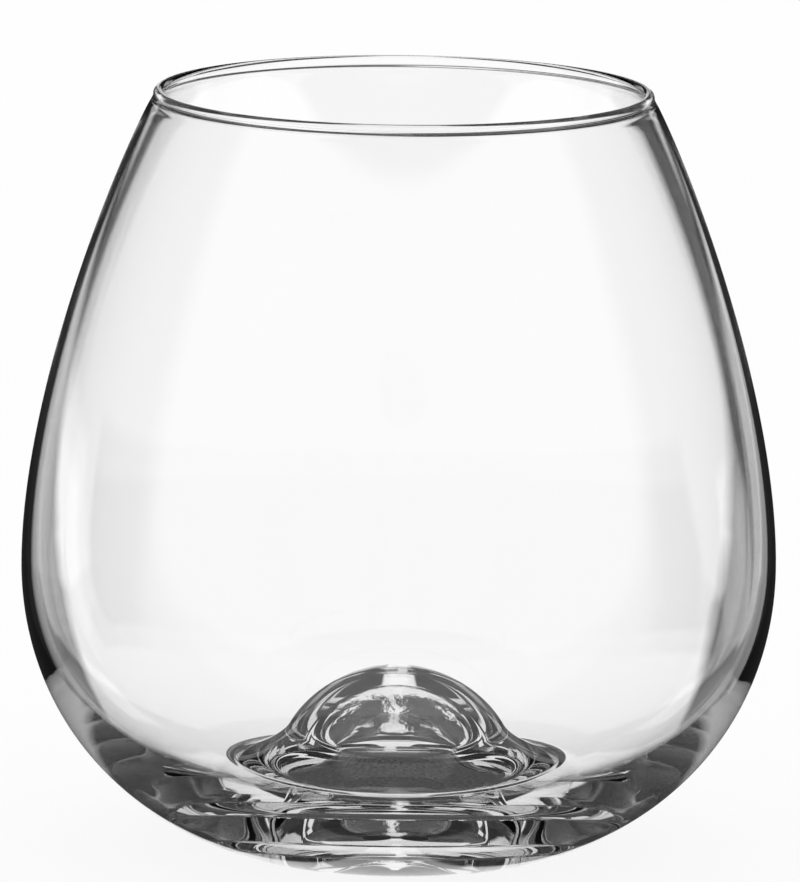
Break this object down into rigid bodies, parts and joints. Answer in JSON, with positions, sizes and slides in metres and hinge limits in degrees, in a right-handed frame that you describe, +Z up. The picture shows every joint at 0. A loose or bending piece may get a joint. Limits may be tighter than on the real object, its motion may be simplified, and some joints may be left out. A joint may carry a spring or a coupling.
{
  "type": "rum glass",
  "caption": "Stemless rum glass: a wide bowl that narrows to its rim, with a domed floor, on a heavy base with a hollow in its underside.",
  "frame": {"origin": "on the surface that the glass stands on, under the middle of its foot", "axes": "+Z up along the axis of the glass, from its foot to its rim"},
  "size_m": [0.0946, 0.0946, 0.0957],
  "materials": {
    "blown_glass": "clear, fire-polished",
    "base_glass": "clear, moulded"
  },
  "bodies": {
    "root": {"bowl": "blown_glass", "base": "base_glass"}
  },
  "joints": []
}
